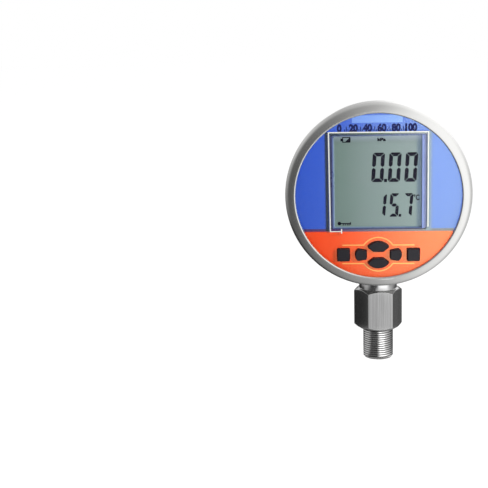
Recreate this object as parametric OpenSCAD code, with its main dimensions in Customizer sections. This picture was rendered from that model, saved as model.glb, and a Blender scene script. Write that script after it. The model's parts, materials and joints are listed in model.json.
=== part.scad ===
// Digital pressure gauge with a round steel case, a printed face, a segment display,
// six push keys and a threaded connector below.
// Z runs up the connector's axis, and the face looks along -Y.
// The origin is the middle of the connector's sealing face, at the thread's free end.

/* [Connector] */
// Outer radius of the process thread
thread_r = 10; // [8:0.5:11]
// Height of the threaded end
thread_len = 20; // [16:0.5:24]
// Chamfer at the thread's free end
thread_chamfer = 1.1; // [0.6:0.1:1.6]
// Height of the relief groove between thread and hexagon
relief_len = 0.9; // [0.6:0.1:1.4]
// Depth of the relief groove
relief_depth = 0.9; // [0.5:0.1:1.2]
// Width of the hexagon across its flats
hex_flats = 28; // [26:0.5:30]
// Height of the hexagon
hex_len = 27.5; // [22:0.5:32]
// Distance from the hexagon's flats in to the round land of its lower face
lower_land_inset = 1.4; // [1:0.1:2]
// Distance from the hexagon's flats in to the round land of its upper face
upper_land_inset = 1; // [0.8:0.1:1.2]
// Slope of the hexagon's corner chamfers
hex_chamfer_angle = 33; // [20:1:40]
// Turn of the hexagon about the connector's axis, as the thread happened to stop
hex_turn = 5.5; // [-30:0.5:30]
// Step from the upper land in to the neck between hexagon and case
neck_inset = 0.4; // [0.3:0.1:0.8]
// Height of the neck between hexagon and case
neck_len = 7.4; // [6:0.2:10]
// Radius of the pressure port
port_r = 3; // [2:0.25:4]
// Chamfer at the port's mouth
port_chamfer = 0.5; // [0.3:0.1:1]
// Depth of the sensor chamber's floor below the hexagon's upper face
chamber_drop = 6.4; // [5:0.2:9]
// Wall of the shank round the sensor's chamber
shank_wall = 2.4; // [2:0.1:2.6]
// Step from the neck in to the threaded shank that enters the case
shank_inset = 3.6; // [3.4:0.1:4]

/* [Case] */
// Least distance from the display opening's corners to the case's outer side
face_margin = 8.1; // [7.8:0.1:10]
// Wall of the case
case_wall = 1.5; // [1.2:0.1:1.8]
// Thickness of the case's rear wall
back_wall = 2; // [1.6:0.1:2.4]
// Room between the main board and the battery tray
inner_room = 7.8; // [7:0.2:12]
// Radius of the rounded edge between side and rear wall
case_corner = 5; // [3:0.5:6]
// Gap between the bezel's skirt and the neck behind it
neck_front_gap = 0.9; // [0.6:0.1:3]
// Fine gap between round pieces that slip into each other
slip_gap = 0.3; // [0.2:0.05:0.35]

/* [Bezel] */
// Thickness of the bezel's skirt
skirt_t = 1.5; // [1.2:0.1:2]
// Width of the bezel's face
bezel_w = 6.5; // [6.2:0.1:7.5]
// Radius of the bezel's domed section
bezel_dome = 6; // [5.6:0.1:6.4]
// Width of the chamfer at the bezel's lip
lip_chamfer = 0.7; // [0.4:0.1:0.9]
// Length of the bezel's skirt over the case
skirt_lap = 4.9; // [4:0.1:6]
// Thickness of the gasket behind the bezel's lip
gasket_t = 0.8; // [0.6:0.1:1]
// Radial width of the gasket
gasket_w = 4; // [3:0.1:4.2]

/* [Face] */
// Thickness of the clear front window
window_t = 2; // [1.6:0.1:2.2]
// Thickness of the printed face panel
panel_t = 1.6; // [1.4:0.1:1.8]
// Width of the display opening in the panel
display_w = 61.8; // [60:0.2:62]
// Height of the display opening in the panel
display_h = 61.4; // [60:0.2:61.6]
// Height of the display opening's middle above the face's centre
display_rise = 8.7; // [8.3:0.1:9]
// Radius of the display opening's corners
display_corner = 0.8; // [0.5:0.1:1.2]

/* [Keys] */
// Distance from the keypad's middle down to the case's outer side
keypad_margin = 19.4; // [19:0.1:20]
// Gap between the side keys and the square keys
square_gap = 3.55; // [3:0.05:4]
// Width and height of a square key
square_key = 8; // [7.5:0.1:8.2]
// Radius of the arc that bounds the upper and lower keys
pad_r = 8.8; // [8.6:0.1:9]
// Angle from level to the tips of the upper and lower keys
tip_angle = 37; // [36:0.5:39]
// Distance from the keypad's middle to the inner edge of the upper and lower keys
pad_inner = 2.2; // [2:0.1:2.4]
// Half the width of that inner edge
pad_inner_half = 3.3; // [3:0.1:3.6]
// Distance from the keypad's middle to the inner edge of the side keys
side_inner = 7.6; // [7.5:0.05:7.9]
// Half the height of a side key at its inner edge
side_inner_half = 2.9; // [2.6:0.1:3]
// Length of a side key between its inner edge and its outer corners
side_key_len = 5.4; // [5:0.1:5.8]
// Half the height of a side key at its outer corners
side_corner_half = 3.9; // [3.6:0.1:4]
// Bulge of the side keys' outer end
side_bulge = 2; // [1.6:0.1:2.2]
// Corner radius of every key
key_round = 0.6; // [0.4:0.1:0.8]
// Bevel round the top of every key
key_bevel = 0.5; // [0.3:0.1:0.6]
// Height of the keys above the window
key_stand = 1.4; // [1.1:0.1:1.6]
// Gap between a key and the holes that it passes through
key_gap = 0.3; // [0.2:0.05:0.35]
// Travel of a key when it is pressed
key_travel = 0.6; // [0.3:0.1:0.7]

/* [Display] */
// Thickness of the liquid crystal cell
cell_t = 2.4; // [2:0.1:2.8]
// Overlap of the cell behind the carrier at its upper and lower ends
cell_lap = 1.8; // [1.5:0.1:2.4]
// Overlap of the cell behind the carrier at its sides
cell_side_lap = 0.4; // [0.2:0.1:1]
// Width of the display frame at its sides
frame_side = 2.7; // [2.4:0.1:3.5]
// Width of the display frame along its top
frame_top = 1.5; // [1.2:0.1:2.5]
// Width of the display frame along its bottom
frame_bottom = 0.7; // [0.6:0.1:2]
// Thickness of the light plate behind the cell
light_t = 5.6; // [5.2:0.1:6]
// Depth of the display frame
frame_depth = 3; // [2.6:0.1:3.4]
// Width of the frame's front ledge
ledge_w = 1.3; // [1:0.1:1.5]
// Depth of the step behind the front ledge
ledge_depth = 0.9; // [0.6:0.1:1.2]

/* [Electronics] */
// Thickness of the main board
board_t = 1.6; // [1.2:0.1:1.8]
// Ring of room round the main board inside the carrier
board_margin = 4.2; // [3:0.1:5]
// Gap between the connector's shank and the main board's flat lower edge
board_gap = 0.7; // [0.5:0.1:1.2]
// Width of a key switch
switch_w = 6; // [5.6:0.1:6.2]
// Height of a key switch's case
switch_h = 3.5; // [3:0.1:4]
// Radius of a key switch's plunger
plunger_r = 1.6; // [1.3:0.1:1.7]
// Height of the plunger above the switch's case
plunger_rise = 1.5; // [1.2:0.1:1.8]

/* [Power] */
// Radius of a battery cell
battery_r = 5.25; // [5:0.05:5.4]
// Length of a battery cell with its stud
battery_len = 44.5; // [43:0.5:45]
// Gap between neighbouring cells
battery_gap = 1.7; // [1.2:0.1:2.5]
// Height of the battery tray's middle above the face's centre
tray_rise = 16; // [14:0.5:18]
// Room between the cells and the battery door
battery_room = 1.9; // [1.5:0.1:2.5]
// Overlap of the battery door beyond the tray's opening at its ends
door_end_lap = 7.5; // [7:0.1:9]
// Overlap of the battery door beyond the tray's opening along its sides
door_side_lap = 3.4; // [3:0.1:4]
// Least distance from the battery door's corners to the case's outer side
door_margin = 7; // [6.8:0.1:9]
// Thickness of the battery door
door_t = 1.2; // [1:0.1:1.3]

/* [Hidden] */
$fn = 96;

// One overrun serves every cut
cut = 1;
fine_sides = 360;

// Power
battery_rows = [-1, 0, 1];
battery_pitch = 2 * battery_r + battery_gap;
tray_wall = 1.5;
tray_end_room = 8.5;
tray_fit = 0.3;
tray_in_w = battery_len + tray_end_room;
tray_in_h = len(battery_rows) * battery_pitch + 2 * tray_fit;
tray_flange = 2;
tray_flange_t = 1.5;
tray_corner = 2;
tray_lug_r = 3.2;
tray_lug_len = 7;
tray_lug_offset = 2.5;
battery_stud_r = 1.9;
battery_stud_len = 1;
battery_stud_root = 0.2;
battery_lift = 0.1;
tray_depth = 2 * battery_r + battery_lift + battery_room;
door_w = tray_in_w + 2 * door_end_lap;
door_h = tray_in_h + 2 * door_side_lap;
door_corner = 4;
door_fit = 0.2;
door_seal_t = 0.3;
door_seal_w = 2;
door_screw_x = tray_in_w / 2 + tray_wall + tray_lug_offset;
door_screw_len = 6;

// The case is wide enough for the display opening in front and for the door behind
display_top = display_rise + display_h / 2;
door_top = tray_rise + door_h / 2;
case_r = max(norm([display_w / 2, display_top]) + face_margin,
    norm([door_w / 2, door_top]) + door_margin);

// Connector heights and radii
hex_lower_land = hex_flats / 2 - lower_land_inset;
hex_upper_land = hex_flats / 2 - upper_land_inset;
neck_r = hex_upper_land - neck_inset;
shank_r = neck_r - shank_inset;
chamber_r = shank_r - shank_wall;
hex_bottom = thread_len + relief_len;
hex_top = hex_bottom + hex_len;
hex_corner_r = hex_flats / 2 / cos(30);
lower_chamfer = (hex_corner_r - hex_lower_land) * tan(hex_chamfer_angle);
upper_chamfer = (hex_corner_r - hex_upper_land) * tan(hex_chamfer_angle);
face_z = hex_top + neck_len + case_r;
chamber_floor = hex_top - chamber_drop;
seal_t = 0.8;
neck_top_r = case_r + seal_t;
saddle_t = 2.6;
saddle_w = 2.3;
washer_t = 0.8;
washer_w = 3.2;
nut_t = 4;
nut_wall = 3;
nut_corner_r = (shank_r + nut_wall) / cos(30);
thread_gap = 0.1;
seat_gap = 0.05;
shank_over = 0.6;
case_inner_r = case_r - case_wall;
case_floor = face_z - case_inner_r;
saddle_top = case_floor + saddle_t;
washer_top = saddle_top + washer_t;
nut_top = washer_top + nut_t;
shank_top = nut_top + shank_over;
shank_hole_r = shank_r + slip_gap;

// Places along Y, from the front back
rim_front = neck_r + neck_front_gap + skirt_lap;
panel_front = -rim_front - panel_t;
window_front = panel_front - window_t;
gasket_front = window_front - gasket_t;
lip_t = 2.2;
lip_front = gasket_front - lip_t;
carrier_t = 2;
carrier_back = carrier_t - rim_front;
cell_back = carrier_back + cell_t;
board_front = -cell_back - light_t;
board_back = board_t - board_front;
tray_front = board_back + inner_room;
connector_room = 4.4;
inner_back = max(tray_front + tray_wall + tray_depth, neck_r + connector_room - back_wall);
case_back = inner_back + back_wall;
key_front = window_front - key_stand;

// Bezel
bezel_bore = case_r + slip_gap;
bezel_r = bezel_bore + skirt_t;
opening_r = bezel_r - bezel_w;
dome_r_mid = bezel_r - bezel_dome;
dome_y_mid = lip_front + bezel_dome;
skirt_back = rim_front - skirt_lap;
disc_r = case_r;
carrier_r = case_inner_r - slip_gap;

// Fasteners
small_screw_r = 1.25;
small_head_r = 2.6;
small_head_t = 1.6;
small_screw_len = 6.2;
board_hole_r = 1.7;
standoff_flats = 5.5;
stud_r = 1.5;
stud_len = 6;
screw_gap = 0.1;
bore_over = 1;
case_screw_head = 2.9;
case_screw_cone = 1.4;
case_screw_len = 7;
slot_w = 0.7;
slot_depth = 0.6;

// Front carrier
carrier_skirt_w = 2.5;
lug_reach = 1.8;
carrier_skirt_back = board_back + lug_reach;
lug_r = 4.5;
lug_circle = case_r - case_corner - case_screw_head - screw_gap;
lug_angles = [90, 203.5, 336.5];
post_r = 3.25;
post_bore_r = 1.35;
post_x_shares = [0.745, 0.674];
post_z_shares = [0.355, -0.479];
posts = [for (side = [-1, 1], i = [0, 1])
    [side * carrier_r * post_x_shares[i], carrier_r * post_z_shares[i]]];
notch_room = 3;
carrier_notch_w = 2 * (nut_corner_r + notch_room);

// Keys
key_flange = 0.8;
key_flange_t = 1;
flange_gap = 0.3;
stem_r = 2;
flange_front = carrier_back + flange_gap;
flange_back = flange_front + key_flange_t;
plunger_front = -board_front - switch_h - plunger_rise;
plunger_in = 0.9;
plunger_gap = 0.3;
switch_bore_depth = plunger_in + key_travel + plunger_gap;
arc_steps = 8;
turn_step = 22.5;
side_corner = side_inner + side_key_len;
side_tip = side_corner + side_bulge;
square_offset = side_tip + square_gap + square_key / 2;
pad_press = (pad_r + pad_inner) / 2;
side_press = (side_inner + side_tip) / 2;
keypad_z = keypad_margin - case_r;
sliver = 0.05;

// Display
frame_fit = 0.2;
frame_front = carrier_back - frame_depth;
view_w = display_w - 2 * frame_fit - 2 * frame_side;
view_h = display_h - 2 * frame_fit - frame_top - frame_bottom;
view_rise = display_rise + (frame_bottom - frame_top) / 2;
cell_w = display_w + 2 * cell_side_lap;
cell_h = display_h + 2 * cell_lap;
light_margin = 3;
strip_t = 2.4;
strip_margin = 4;

// Board parts
board_r = carrier_r - board_margin;
board_drop = face_z - shank_top - board_gap;
chip_sizes = [[14, 14, 2], [8, 6, 1.6], [5, 4, 1.5]];
chip_x_shares = [0.2, -0.25, 0.5];
chip_z_shares = [0.3, -0.15, -0.2];
capacitor_r = 2.5;
capacitor_h = 5;
capacitor_x_shares = [-0.55, -0.55, 0.3];
capacitor_z_shares = [-0.1, 0.03, -0.45];
crystal_r = 1.6;
crystal_len = 8;
crystal_x_share = 0.42;
crystal_z_share = 0.05;

// Battery contacts and lead
spring_root_r = 4;
spring_tip_r = 2.4;
contact_t = 0.5;
contact_w = 9;
battery_y = tray_front + tray_wall + battery_lift + battery_r;
battery_body_len = battery_len - battery_stud_len;
stud_end = tray_in_w / 2 - contact_t;
spring_end = stud_end - battery_len;
lead_wire_r = 0.7;
lead_pitch = 3;
lead_x_share = 0.36;

// Sensor
capsule_gap = 0.3;
capsule_r = chamber_r - capsule_gap;
capsule_h = 8;
ring_wire_r = 0.8;
ring_slack = 0.05;
ring_rise = 2;
ring_room = 0.2;
retainer_h = 4;
retainer_bore = 3;
lead_r = 1.2;
lead_bend = 2.4;
plug_w = 9;
plug_h = 5;
plug_t = 3.6;
sensor_plug_rise = 8.6;
sensor_plug_z = shank_top + sensor_plug_rise;
capsule_top = chamber_floor + capsule_h;
groove_r = chamber_r - 2 * ring_wire_r - 2 * ring_slack;
groove_half = ring_wire_r + ring_room;

// Flat shape on the face, drawn in x and height above the face's centre, from front back by t
module face_plate(front, t)
    translate([0, front + t, face_z])
        rotate([90, 0, 0])
            linear_extrude(height = t) children();

// Profile in radius and y, turned about the face's axis
module face_turn()
    translate([0, 0, face_z])
        rotate([-90, 0, 0])
            rotate_extrude() children();

// Cylinder along the face's axis from front back by t, at a place on the face
module face_rod(x, z, front, t, r)
    translate([x, front, face_z + z])
        rotate([-90, 0, 0])
            cylinder(r = r, h = t);

// Cylinder about the face's axis, as long as the case and finely divided
module case_axis_rod(r)
    translate([0, -rim_front, face_z])
        rotate([-90, 0, 0])
            cylinder(r = r, h = rim_front + case_back, $fn = fine_sides);

module rounded_rect(w, h, r) {
    square([w - 2 * r, h], center = true);
    square([w, h - 2 * r], center = true);
    for (x = [-1, 1], y = [-1, 1])
        translate([x * (w / 2 - r), y * (h / 2 - r)]) circle(r = r);
}

// Outward unit normal of the edge that starts at point i of a counter-clockwise outline
function edge_normal(points, i) =
    let (a = points[i], b = points[(i + 1) % len(points)], d = b - a)
    [d[1], -d[0]] / norm(d);

// Convex outline grown outward by g on every side
function grown(points, g) = [
    for (i = [0 : len(points) - 1])
        let (
            n = edge_normal(points, i),
            m = edge_normal(points, (i + len(points) - 1) % len(points))
        )
        points[i] + (n + m) * g / (1 + n * m)
];

// Convex outline with each corner rounded to radius r
function softened(points, r) =
    let (core = grown(points, -r))
    [
        for (i = [0 : len(points) - 1])
            let (
                n = edge_normal(points, i),
                m = edge_normal(points, (i + len(points) - 1) % len(points)),
                from = atan2(m[1], m[0]),
                turn = acos(min(1, m * n)),
                steps = max(1, round(turn / turn_step))
            )
            for (k = [0 : steps])
                core[i] + r * [cos(from + turn * k / steps), sin(from + turn * k / steps)]
    ];

// Outlines of the keys about the keypad's middle
function square_outline(side) = [
    for (p = [[-1, -1], [1, -1], [1, 1], [-1, 1]])
        [side * square_offset + p[0] * square_key / 2, p[1] * square_key / 2]
];

function upper_outline() = concat(
    [[-pad_inner_half, pad_inner], [pad_inner_half, pad_inner]],
    [for (k = [0 : arc_steps])
        let (a = tip_angle + (180 - 2 * tip_angle) * k / arc_steps)
        pad_r * [cos(a), sin(a)]]
);

// Radius and middle of the arc through a side key's outer corners and its tip
side_arc_r = (pow(side_corner_half, 2) + pow(side_bulge, 2)) / (2 * side_bulge);
side_arc_mid = side_tip - side_arc_r;
side_arc_angle = asin(side_corner_half / side_arc_r);

function right_outline() = concat(
    [[side_inner, side_inner_half], [side_inner, -side_inner_half]],
    [for (k = [0 : arc_steps])
        let (a = -side_arc_angle + 2 * side_arc_angle * k / arc_steps)
        [side_arc_mid + side_arc_r * cos(a), side_arc_r * sin(a)]]
);

// The same outline seen in a mirror, walked in the same sense
function flipped(points, sx, sz) = [
    for (i = [len(points) - 1 : -1 : 0]) [sx * points[i][0], sz * points[i][1]]
];

key_outlines = [
    square_outline(-1),
    square_outline(1),
    upper_outline(),
    flipped(upper_outline(), 1, -1),
    flipped(right_outline(), -1, 1),
    right_outline()
];

// Where each key presses its switch
key_presses = [
    [-square_offset, 0],
    [square_offset, 0],
    [0, pad_press],
    [0, -pad_press],
    [-side_press, 0],
    [side_press, 0]
];

module key_hole(i, gap)
    translate([0, keypad_z])
        polygon(grown(softened(key_outlines[i], key_round), gap));

module key_holes(gap)
    for (i = [0 : len(key_outlines) - 1]) key_hole(i, gap);

// Cap with a bevelled top, a flange that stops it behind the carrier, and a stem
module key(i) {
    hull() {
        face_plate(key_front, sliver) key_hole(i, -key_bevel);
        face_plate(key_front + key_bevel, sliver) key_hole(i, 0);
    }
    face_plate(key_front + key_bevel, flange_front - key_front - key_bevel) key_hole(i, 0);
    face_plate(flange_front, key_flange_t) key_hole(i, key_flange);
    face_rod(key_presses[i][0], keypad_z + key_presses[i][1], flange_back,
        plunger_front - flange_back, stem_r);
}

module plunger(i)
    face_rod(key_presses[i][0], keypad_z + key_presses[i][1], plunger_front,
        plunger_rise + plunger_in, plunger_r);

module display_opening(grow)
    translate([0, display_rise])
        rounded_rect(display_w + 2 * grow, display_h + 2 * grow, display_corner);

// Profile of a cup in radius and y, open to the front
module cup(r, front, back, corner) {
    translate([0, front]) square([r, back - corner - front]);
    translate([0, front]) square([r - corner, back - front]);
    translate([r - corner, back - corner]) circle(r = corner);
}

module door_place() translate([0, tray_rise]) children();

module case_shell() color("silver")
    difference() {
        face_turn()
            difference() {
                cup(case_r, -rim_front, case_back, case_corner);
                cup(case_inner_r, -rim_front - cut, inner_back, case_corner - case_wall);
            }
        face_plate(case_back - door_t - door_seal_t, door_t + door_seal_t + cut)
            door_place() rounded_rect(door_w + 2 * door_fit, door_h + 2 * door_fit, door_corner);
        face_plate(inner_back - cut, back_wall + 2 * cut)
            door_place() rounded_rect(tray_in_w, tray_in_h, tray_corner);
        for (side = [-1, 1])
            face_rod(side * door_screw_x, tray_rise, inner_back - cut, back_wall + 2 * cut,
                board_hole_r);
        for (a = lug_angles) {
            face_rod(lug_circle * cos(a), lug_circle * sin(a), inner_back - cut,
                back_wall + 2 * cut, stud_r + slip_gap);
            translate([lug_circle * cos(a), case_back - case_screw_cone,
                    face_z + lug_circle * sin(a)])
                rotate([-90, 0, 0])
                    cylinder(r1 = stud_r + slip_gap, r2 = case_screw_head + slip_gap,
                        h = case_screw_cone);
        }
        translate([0, 0, face_z - case_r - cut])
            cylinder(r = shank_hole_r, h = case_wall + saddle_t + cut);
    }

module bezel_ring() color("lightgray")
    face_turn()
        difference() {
            union() {
                translate([dome_r_mid, dome_y_mid]) circle(r = bezel_dome);
                translate([bezel_bore, dome_y_mid])
                    square([bezel_r - bezel_bore, -skirt_back - dome_y_mid]);
            }
            translate([0, lip_front - cut])
                square([opening_r, -lip_front + cut]);
            translate([0, gasket_front])
                square([bezel_bore, -gasket_front]);
            polygon([
                [opening_r - cut, lip_front - cut],
                [opening_r + lip_chamfer + cut, lip_front - cut],
                [opening_r - cut, lip_front + lip_chamfer + cut]
            ]);
        }

module bezel_gasket() color("dimgray")
    face_plate(gasket_front, gasket_t)
        difference() {
            circle(r = disc_r);
            circle(r = disc_r - gasket_w);
        }

module front_window() color("lightcyan", 0.3)
    face_plate(window_front, window_t)
        difference() {
            circle(r = disc_r);
            key_holes(key_gap);
        }

module face_panel() color("royalblue")
    face_plate(panel_front, panel_t)
        difference() {
            circle(r = disc_r);
            display_opening(0);
            key_holes(key_gap);
        }

module front_carrier() color("dimgray")
    difference() {
        union() {
            face_plate(-rim_front, carrier_t)
                difference() {
                    circle(r = carrier_r);
                    display_opening(0);
                    key_holes(key_gap);
                }
            face_plate(carrier_back, carrier_skirt_back - carrier_back)
                difference() {
                    union() {
                        difference() {
                            circle(r = carrier_r);
                            circle(r = carrier_r - carrier_skirt_w);
                        }
                        intersection() {
                            circle(r = carrier_r);
                            for (a = lug_angles)
                                translate(lug_circle * [cos(a), sin(a)]) circle(r = lug_r);
                        }
                    }
                    translate([-carrier_notch_w / 2, -carrier_r - cut])
                        square([carrier_notch_w, carrier_r]);
                }
            for (p = posts)
                face_rod(p[0], p[1], carrier_back, -board_front - carrier_back, post_r);
        }
        for (p = posts)
            face_rod(p[0], p[1], board_back - small_screw_len - bore_over,
                small_screw_len + bore_over, post_bore_r);
        for (a = lug_angles)
            face_rod(lug_circle * cos(a), lug_circle * sin(a),
                carrier_skirt_back - stud_len - bore_over, stud_len + bore_over + cut,
                stud_r + screw_gap);
    }

module display_frame() color("lightsteelblue")
    difference() {
        face_plate(frame_front, frame_depth) display_opening(-frame_fit);
        face_plate(frame_front - cut, ledge_depth + cut)
            translate([0, display_rise])
                square([display_w - 2 * ledge_w, display_h - ledge_w], center = true);
        face_plate(frame_front - cut, frame_depth + 2 * cut)
            translate([0, view_rise]) square([view_w, view_h], center = true);
    }

module display_cell() color("darkseagreen")
    face_plate(carrier_back, cell_t)
        translate([0, display_rise]) square([cell_w, cell_h], center = true);

module backlight() color("whitesmoke")
    face_plate(cell_back, light_t)
        translate([0, display_rise])
            square([cell_w - 2 * light_margin, cell_h - 2 * light_margin], center = true);

module contact_strips() color("black")
    for (side = [-1, 1])
        face_plate(cell_back, light_t)
            translate([0, display_rise + side * (cell_h - strip_t) / 2])
                square([cell_w - 2 * strip_margin, strip_t], center = true);

module main_board() color("darkgreen")
    face_plate(-board_front, board_t)
        difference() {
            circle(r = board_r);
            translate([-board_r, -board_r - cut])
                square([2 * board_r, board_r + cut - board_drop]);
            for (p = posts) translate(p) circle(r = board_hole_r);
            for (a = lug_angles)
                translate(lug_circle * [cos(a), sin(a)]) circle(r = lug_r + 2 * slip_gap);
        }

module key_switches() color("black")
    for (p = key_presses)
        difference() {
            face_plate(-board_front - switch_h, switch_h)
                translate([p[0], p[1] + keypad_z]) square(switch_w, center = true);
            face_rod(p[0], p[1] + keypad_z, -board_front - switch_h - cut,
                switch_bore_depth + cut, plunger_r + plunger_gap);
        }

module square_key_left() color("darkslategray") key(0);
module square_key_right() color("darkslategray") key(1);
module arrow_key_up() color("darkslategray") key(2);
module arrow_key_down() color("darkslategray") key(3);
module arrow_key_left() color("darkslategray") key(4);
module arrow_key_right() color("darkslategray") key(5);

module square_plunger_left() color("gold") plunger(0);
module square_plunger_right() color("gold") plunger(1);
module arrow_plunger_up() color("gold") plunger(2);
module arrow_plunger_down() color("gold") plunger(3);
module arrow_plunger_left() color("gold") plunger(4);
module arrow_plunger_right() color("gold") plunger(5);

// Slotted screw with a flat round head whose seat is at y = seat, pointing forward
module pan_screw(x, z, seat, length) {
    face_rod(x, z, seat - length, length, small_screw_r);
    difference() {
        face_rod(x, z, seat, small_head_t, small_head_r);
        face_plate(seat + small_head_t - slot_depth, slot_depth + cut)
            translate([x, z]) square([2 * small_head_r + cut, slot_w], center = true);
    }
}

module board_screws() color("gainsboro")
    for (p = posts) pan_screw(p[0], p[1], board_back, small_screw_len);

module board_chips() color("black")
    for (i = [0 : len(chip_sizes) - 1])
        face_plate(board_back, chip_sizes[i][2])
            translate([board_r * chip_x_shares[i], board_r * chip_z_shares[i]])
                square([chip_sizes[i][0], chip_sizes[i][1]], center = true);

module capacitors() color("slategray")
    for (i = [0 : len(capacitor_x_shares) - 1])
        face_rod(board_r * capacitor_x_shares[i], board_r * capacitor_z_shares[i], board_back,
            capacitor_h, capacitor_r);

module clock_crystal() color("silver")
    intersection() {
        translate([board_r * crystal_x_share, board_back + crystal_r,
                face_z + board_r * crystal_z_share])
            rotate([0, 90, 0]) cylinder(r = crystal_r, h = crystal_len);
        face_plate(board_back + screw_gap, 2 * crystal_r)
            circle(r = board_r);
    }

module standoffs() color("goldenrod")
    for (a = lug_angles)
        translate([lug_circle * cos(a), 0, face_z + lug_circle * sin(a)])
            rotate([-90, 0, 0])
                difference() {
                    union() {
                        translate([0, 0, carrier_skirt_back])
                            cylinder(r = standoff_flats / 2 / cos(30),
                                h = inner_back - carrier_skirt_back, $fn = 6);
                        translate([0, 0, carrier_skirt_back - stud_len])
                            cylinder(r = stud_r, h = stud_len + cut);
                    }
                    translate([0, 0, inner_back - case_screw_len])
                        cylinder(r = stud_r + screw_gap, h = case_screw_len + cut);
                }

module case_screws() color("gainsboro")
    for (a = lug_angles)
        translate([lug_circle * cos(a), 0, face_z + lug_circle * sin(a)])
            rotate([-90, 0, 0])
                difference() {
                    union() {
                        translate([0, 0, case_back - case_screw_len])
                            cylinder(r = stud_r, h = case_screw_len - case_screw_cone);
                        translate([0, 0, case_back - case_screw_cone])
                            cylinder(r1 = stud_r, r2 = case_screw_head, h = case_screw_cone);
                    }
                    translate([-case_screw_head - cut, -slot_w / 2, case_back - slot_depth])
                        cube([2 * case_screw_head + 2 * cut, slot_w, slot_depth + cut]);
                }

module battery_tray() color("black")
    difference() {
        union() {
            face_plate(tray_front, inner_back - tray_front)
                door_place()
                    rounded_rect(tray_in_w + 2 * tray_wall, tray_in_h + 2 * tray_wall,
                        tray_corner + tray_wall);
            face_plate(inner_back - tray_flange_t, tray_flange_t)
                door_place()
                    rounded_rect(tray_in_w + 2 * tray_wall + 2 * tray_flange,
                        tray_in_h + 2 * tray_wall + 2 * tray_flange, tray_corner + tray_wall);
            for (side = [-1, 1])
                face_rod(side * door_screw_x, tray_rise, inner_back - tray_lug_len,
                    tray_lug_len, tray_lug_r);
        }
        face_plate(tray_front + tray_wall, tray_depth + cut)
            door_place() rounded_rect(tray_in_w, tray_in_h, tray_corner);
        for (side = [-1, 1])
            face_rod(side * door_screw_x, tray_rise, inner_back - tray_lug_len + bore_over / 2,
                tray_lug_len, post_bore_r);
    }

// Places its children on one cell's axis, with the stud to the right on the outer rows
module battery_place(row)
    translate([0, battery_y, face_z + tray_rise + row * battery_pitch])
        rotate([0, row == 0 ? -90 : 90, 0]) children();

module battery_cells() color("darkorange")
    for (row = battery_rows)
        battery_place(row) {
            translate([0, 0, spring_end]) cylinder(r = battery_r, h = battery_body_len);
            translate([0, 0, stud_end - battery_stud_len - battery_stud_root])
                cylinder(r = battery_stud_r, h = battery_stud_len + battery_stud_root);
        }

module battery_springs() color("silver")
    for (row = battery_rows)
        battery_place(row)
            translate([0, 0, -tray_in_w / 2 + contact_t])
                cylinder(r1 = spring_root_r, r2 = spring_tip_r,
                    h = spring_end + tray_in_w / 2 - contact_t);

module battery_contacts() color("silver")
    for (row = battery_rows, end = [-1, 1])
        battery_place(row)
            translate([-contact_w / 2, -contact_w / 2,
                    end < 0 ? -tray_in_w / 2 : tray_in_w / 2 - contact_t])
                cube([contact_w, contact_w, contact_t]);

module battery_lead() color("red")
    for (side = [-1, 1])
        face_rod(-board_r * lead_x_share, tray_rise + side * lead_pitch / 2, board_back,
            tray_front - board_back, lead_wire_r);

module battery_door() color("silver")
    difference() {
        face_plate(case_back - door_t, door_t)
            door_place() rounded_rect(door_w, door_h, door_corner);
        for (side = [-1, 1])
            face_rod(side * door_screw_x, tray_rise, case_back - door_t - cut,
                door_t + 2 * cut, board_hole_r);
    }

module door_gasket() color("dimgray")
    face_plate(case_back - door_t - door_seal_t, door_seal_t)
        door_place()
            difference() {
                rounded_rect(door_w - 2 * door_fit, door_h, door_corner);
                rounded_rect(tray_in_w + door_seal_w, tray_in_h + door_seal_w,
                    tray_corner + door_seal_w);
                for (side = [-1, 1])
                    translate([side * door_screw_x, 0]) circle(r = board_hole_r);
            }

module door_screws() color("gainsboro")
    for (side = [-1, 1])
        pan_screw(side * door_screw_x, tray_rise, case_back, door_screw_len + back_wall);

// Thread, relief, hexagon with chamfered corners, neck with a saddle top, shank and bores
module pressure_connector() color("silver")
    difference() {
        union() {
            rotate_extrude()
                polygon([
                    [0, 0],
                    [thread_r - thread_chamfer, 0],
                    [thread_r, thread_chamfer],
                    [thread_r, thread_len],
                    [thread_r - relief_depth, thread_len],
                    [thread_r - relief_depth, hex_bottom + cut],
                    [0, hex_bottom + cut]
                ]);
            intersection() {
                translate([0, 0, hex_bottom])
                    rotate([0, 0, hex_turn])
                        cylinder(r = hex_corner_r, h = hex_len, $fn = 6);
                rotate_extrude()
                    polygon([
                        [0, hex_bottom],
                        [hex_lower_land, hex_bottom],
                        [hex_corner_r, hex_bottom + lower_chamfer],
                        [hex_corner_r + cut, hex_bottom + lower_chamfer],
                        [hex_corner_r + cut, hex_top - upper_chamfer],
                        [hex_corner_r, hex_top - upper_chamfer],
                        [hex_upper_land, hex_top],
                        [0, hex_top]
                    ]);
            }
            difference() {
                translate([0, 0, hex_top - cut])
                    cylinder(r = neck_r, h = face_z - case_inner_r - hex_top + cut);
                case_axis_rod(neck_top_r);
            }
            translate([0, 0, hex_top]) cylinder(r = shank_r, h = shank_top - hex_top);
        }
        translate([0, 0, -cut]) cylinder(r = port_r, h = chamber_floor + 2 * cut);
        translate([0, 0, -port_chamfer])
            cylinder(r1 = port_r + 2 * port_chamfer, r2 = port_r, h = 2 * port_chamfer);
        translate([0, 0, chamber_floor])
            cylinder(r = chamber_r, h = shank_top - chamber_floor + cut);
    }

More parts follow.
